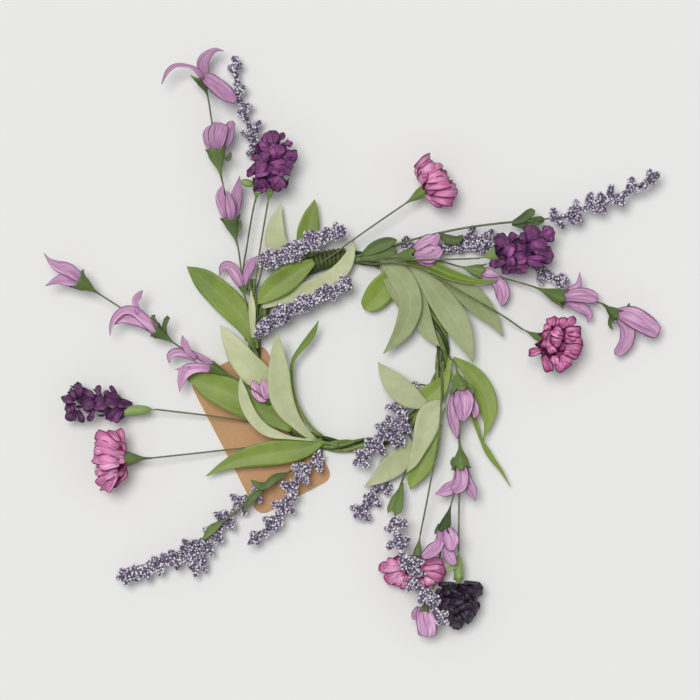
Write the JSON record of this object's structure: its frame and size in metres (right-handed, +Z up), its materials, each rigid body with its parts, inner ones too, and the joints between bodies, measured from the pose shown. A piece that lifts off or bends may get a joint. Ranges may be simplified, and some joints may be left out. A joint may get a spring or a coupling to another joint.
{
  "type": "dried lavender wreath",
  "caption": "Small open wreath of dried-look lavender, lilac, purple and pink flowers and leafy stems swirling from a bare stem ring, with a plain card behind.",
  "frame": {"origin": "on the surface the wreath lies on, under the middle of its outer box", "axes": "+Z up from the surface, towards the wreath's face; +X to the right and +Y to the top of the wreath as seen from its face"},
  "size_m": [0.3667, 0.353, 0.0343],
  "materials": {
    "leaf": "matt printed fabric, paler beneath",
    "stem": "satin plastic over wire",
    "tape": "waxy crepe floral tape",
    "calyx": "matt moulded plastic over wire",
    "beads": "small satin beads",
    "lilac": "matt creased fabric",
    "purple": "matt crumpled fabric",
    "dark_purple": "matt crumpled fabric",
    "pink": "matt fabric, dark at the petal edges",
    "kraft": "plain uncoated card"
  },
  "bodies": {
    "root": {"ring_stems": "stem", "tape_wrap_upper": "tape", "taped_bundle_left": "tape", "kraft_tag": "kraft", "lavender_upper_slim": "beads", "lavender_upper_full": "beads", "lavender_inner_full": "beads", "lavender_left_long": "beads", "lavender_left_short": "beads", "lavender_right_long": "beads", "lavender_right_short": "beads", "lavender_lower_long": "beads", "lavender_lower_short": "beads", "lavender_lower_ring": "beads", "lilac_upper_flower_1": "lilac", "lilac_upper_flower_2": "lilac", "lilac_upper_flower_3": "lilac", "lilac_upper_flower_4": "lilac", "lilac_upper_wire": "calyx", "lilac_left_flower_1": "lilac", "lilac_left_flower_2": "lilac", "lilac_left_flower_3": "lilac", "lilac_left_flower_4": "lilac", "lilac_left_wire": "calyx", "lilac_right_flower_1": "lilac", "lilac_right_flower_2": "lilac", "lilac_right_flower_3": "lilac", "lilac_right_flower_4": "lilac", "lilac_right_wire": "calyx", "lilac_lower_flower_1": "lilac", "lilac_lower_flower_2": "lilac", "lilac_lower_flower_3": "lilac", "lilac_lower_flower_4": "lilac", "lilac_lower_wire": "calyx", "purple_upper_stem": "calyx", "purple_upper_flower": "purple", "pink_upper_stem": "calyx", "pink_upper_flower": "pink", "leaves_upper": "leaf", "purple_left_stem": "calyx", "purple_left_flower": "purple", "pink_left_stem": "calyx", "pink_left_flower": "pink", "leaves_left": "leaf", "purple_right_stem": "calyx", "purple_right_flower": "purple", "pink_right_stem": "calyx", "pink_right_flower": "pink", "leaves_right": "leaf", "purple_lower_stem": "calyx", "purple_lower_flower": "dark_purple", "pink_lower_stem": "calyx", "pink_lower_flower": "pink", "leaves_lower": "leaf", "lavender_left_long_stem": "calyx", "lavender_right_long_stem": "calyx", "lavender_lower_long_stem": "calyx"}
  },
  "joints": []
}
